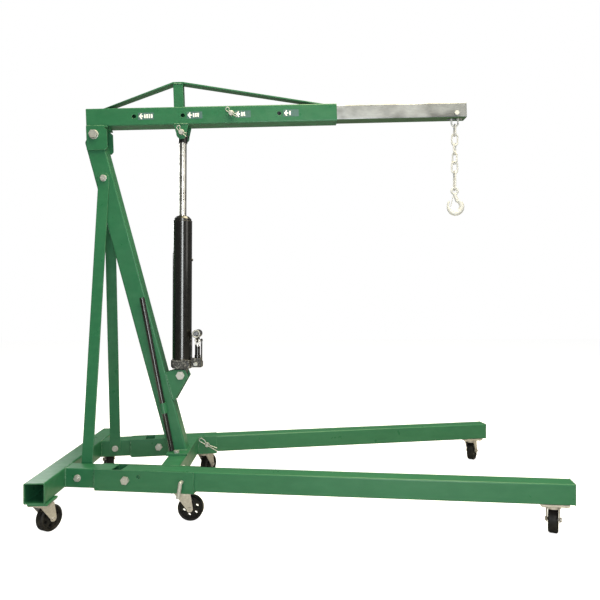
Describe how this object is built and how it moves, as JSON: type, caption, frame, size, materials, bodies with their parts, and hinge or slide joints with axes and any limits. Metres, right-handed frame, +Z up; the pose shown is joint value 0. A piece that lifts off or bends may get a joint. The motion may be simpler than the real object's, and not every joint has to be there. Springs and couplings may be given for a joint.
{
  "type": "engine hoist crane",
  "caption": "Folding engine hoist crane: castered splayed legs, leaning mast with side braces, hydraulic ram, telescopic boom with truss, chain and hook.",
  "frame": {"origin": "on the floor, under the middle of the crane's overall box", "axes": "+X forward from the rear crossmember to the leg tips and the hook, +Y left, +Z up"},
  "size_m": [1.8306, 1.0358, 1.6561],
  "materials": {
    "black_paint": "satin",
    "cast_steel": "cast",
    "green_paint": "satin",
    "grey_steel": "brushed",
    "polished_rod": "polished",
    "wheel": "matte",
    "zinc": "satin"
  },
  "bodies": {
    "base": {"caster_plates": "zinc", "frame_bolts": "zinc", "front_crossbeam": "green_paint", "handle_holder": "green_paint", "leg_channel_left": "green_paint", "leg_channel_right": "green_paint", "leg_lock_pins": "zinc", "mast_braces": "green_paint", "mast_foot_plate": "green_paint", "mast_post": "green_paint", "pivot_bolts": "zinc", "ram_lower_bracket": "green_paint", "ram_lower_pin": "zinc", "rear_caster_pads": "green_paint", "rear_crossmember": "green_paint", "side_rail_left": "green_paint", "side_rail_right": "green_paint"},
    "extension": {"boom_inner": "grey_steel", "hook_bolt": "zinc"},
    "boom": {"boom_outer": "green_paint", "boom_pins": "zinc", "boom_pivot_bracket": "green_paint", "boom_truss": "green_paint", "ram_upper_bracket": "green_paint"},
    "fork_mid_left": {"caster_fork_mid_left": "zinc"},
    "fork_mid_right": {"caster_fork_mid_right": "zinc"},
    "fork_rear_left": {"caster_fork_rear_left": "zinc"},
    "fork_rear_right": {"caster_fork_rear_right": "zinc"},
    "fork_tip_left": {"caster_fork_tip_left": "zinc"},
    "fork_tip_right": {"caster_fork_tip_right": "zinc"},
    "wheel_mid_left": {"caster_wheel_mid_left": "wheel"},
    "wheel_mid_right": {"caster_wheel_mid_right": "wheel"},
    "wheel_rear_left": {"caster_wheel_rear_left": "wheel"},
    "wheel_rear_right": {"caster_wheel_rear_right": "wheel"},
    "wheel_tip_left": {"caster_wheel_tip_left": "wheel"},
    "wheel_tip_right": {"caster_wheel_tip_right": "wheel"},
    "chain": {"chain_links": "zinc"},
    "hook_body": {"hook": "zinc"},
    "latch": {"hook_latch": "zinc"},
    "shackle": {"hook_shackle": "zinc"},
    "leg_left_body": {"leg_cap_left": "green_paint", "leg_caster_plates_left": "zinc", "leg_left": "green_paint"},
    "leg_right_body": {"leg_cap_right": "green_paint", "leg_caster_plates_right": "zinc", "leg_right": "green_paint"},
    "cylinder": {"pump_barrel": "black_paint", "pump_block": "cast_steel", "pump_link": "black_paint", "ram_base": "black_paint", "ram_fittings": "black_paint", "ram_head": "black_paint", "ram_pressure_tube": "grey_steel", "ram_reservoir": "black_paint"},
    "handle": {"pump_handle": "black_paint"},
    "lever": {"pump_lever": "black_paint"},
    "plunger": {"pump_plunger": "zinc"},
    "rod": {"ram_rod": "polished_rod", "ram_rod_eye": "black_paint"},
    "valve": {"release_valve": "zinc"}
  },
  "joints": [
    {"name": "boom_lift", "type": "hinge", "parent": "base", "child": "boom", "pos_m": [-0.805, 0, 1.437], "axis": [0, -1, 0], "range_deg": [-20, 20]},
    {"name": "ram_swing", "type": "hinge", "parent": "boom", "child": "rod", "pos_m": [-0.46521, 0, 1.44887], "axis": [0, -1, 0], "range_deg": [-21, 21]},
    {"name": "ram_stroke", "type": "slide", "parent": "rod", "child": "cylinder", "axis": [-0.0055, 0, -1], "range_m": [-0.12, 0.12]},
    {"name": "boom_extension", "type": "slide", "parent": "boom", "child": "extension", "axis": [0.9994, 0, 0.0349], "range_m": [-0.382, 0.191]},
    {"name": "shackle_swing", "type": "hinge", "parent": "extension", "child": "shackle", "pos_m": [0.63816, 0, 1.54343], "axis": [0, -1, 0], "range_deg": [-21, 21]},
    {"name": "chain_swing", "type": "hinge", "parent": "shackle", "child": "chain", "pos_m": [0.63816, 0, 1.49593], "axis": [1, 0, 0], "range_deg": [-25, 25]},
    {"name": "hook_swing", "type": "hinge", "parent": "chain", "child": "hook_body", "pos_m": [0.63816, 0, 1.23593], "axis": [0, -1, 0], "range_deg": [-30, 30]},
    {"name": "latch_open", "type": "hinge", "parent": "hook_body", "child": "latch", "pos_m": [0.63167, 0, 1.20843], "axis": [0, -1, 0], "range_deg": [0, 30], "stiffness_Nm_per_rad": 0.02, "springref_deg": -11.46},
    {"name": "pump_lever_swing", "type": "hinge", "parent": "cylinder", "child": "lever", "pos_m": [-0.40775, 0.028, 0.62266], "axis": [-1, 0, 0.0055], "range_deg": [-11, 20]},
    {"name": "pump_stroke", "type": "slide", "parent": "cylinder", "child": "plunger", "axis": [0.0055, 0, 1], "range_m": [-0.0056, 0.01]},
    {"name": "valve_turn", "type": "hinge", "parent": "cylinder", "child": "valve", "pos_m": [-0.41226, -0.02, 0.53068], "axis": [0, 1, 0], "range_deg": [0, 180]},
    {"name": "handle_slide", "type": "slide", "parent": "base", "child": "handle", "axis": [-0.1887, 0, 0.982], "range_m": [0, 0.22]},
    {"name": "leg_fold_left", "type": "hinge", "parent": "base", "child": "leg_left_body", "pos_m": [-0.61365, 0.24045, 0.147], "axis": [0.1502, -0.9887, 0], "range_deg": [0, 90]},
    {"name": "leg_fold_right", "type": "hinge", "parent": "base", "child": "leg_right_body", "pos_m": [-0.61365, -0.24045, 0.147], "axis": [-0.1502, -0.9887, 0], "range_deg": [0, 90]},
    {"name": "swivel_rear_left", "type": "hinge", "parent": "base", "child": "fork_rear_left", "pos_m": [-0.87, 0.375, 0.1], "axis": [0, 0, 1], "continuous": true},
    {"name": "roll_rear_left", "type": "hinge", "parent": "fork_rear_left", "child": "wheel_rear_left", "pos_m": [-0.88221, 0.39796, 0.045], "axis": [-0.8829, -0.4695, 0], "continuous": true},
    {"name": "swivel_rear_right", "type": "hinge", "parent": "base", "child": "fork_rear_right", "pos_m": [-0.87, -0.375, 0.1], "axis": [0, 0, 1], "continuous": true},
    {"name": "roll_rear_right", "type": "hinge", "parent": "fork_rear_right", "child": "wheel_rear_right", "pos_m": [-0.85779, -0.35204, 0.045], "axis": [-0.8829, 0.4695, 0], "continuous": true},
    {"name": "swivel_mid_left", "type": "hinge", "parent": "base", "child": "fork_mid_left", "pos_m": [-0.41592, 0.2705, 0.1], "axis": [0, 0, 1], "continuous": true},
    {"name": "roll_mid_left", "type": "hinge", "parent": "fork_mid_left", "child": "wheel_mid_left", "pos_m": [-0.40535, 0.29425, 0.045], "axis": [-0.9135, 0.4067, 0], "continuous": true},
    {"name": "swivel_mid_right", "type": "hinge", "parent": "base", "child": "fork_mid_right", "pos_m": [-0.41592, -0.2705, 0.1], "axis": [0, 0, 1], "continuous": true},
    {"name": "roll_mid_right", "type": "hinge", "parent": "fork_mid_right", "child": "wheel_mid_right", "pos_m": [-0.38999, -0.27231, 0.045], "axis": [0.0698, 0.9976, 0], "continuous": true},
    {"name": "swivel_tip_left", "type": "hinge", "parent": "leg_left_body", "child": "fork_tip_left", "pos_m": [0.84658, 0.46234, 0.1], "axis": [0, 0, 1], "continuous": true},
    {"name": "roll_tip_left", "type": "hinge", "parent": "fork_tip_left", "child": "wheel_tip_left", "pos_m": [0.85958, 0.48485, 0.045], "axis": [-0.866, 0.5, 0], "continuous": true},
    {"name": "swivel_tip_right", "type": "hinge", "parent": "leg_right_body", "child": "fork_tip_right", "pos_m": [0.84658, -0.46234, 0.1], "axis": [0, 0, 1], "continuous": true},
    {"name": "roll_tip_right", "type": "hinge", "parent": "fork_tip_right", "child": "wheel_tip_right", "pos_m": [0.85798, -0.43897, 0.045], "axis": [-0.8988, 0.4384, 0], "continuous": true}
  ],
  "couplings": [
    {"joint": "ram_swing", "follows": "boom_lift", "ratio": -0.985},
    {"joint": "ram_stroke", "follows": "boom_lift", "m_per_rad": 0.332},
    {"joint": "shackle_swing", "follows": "boom_lift", "ratio": -1},
    {"joint": "pump_stroke", "follows": "pump_lever_swing", "m_per_rad": 0.028}
  ]
}
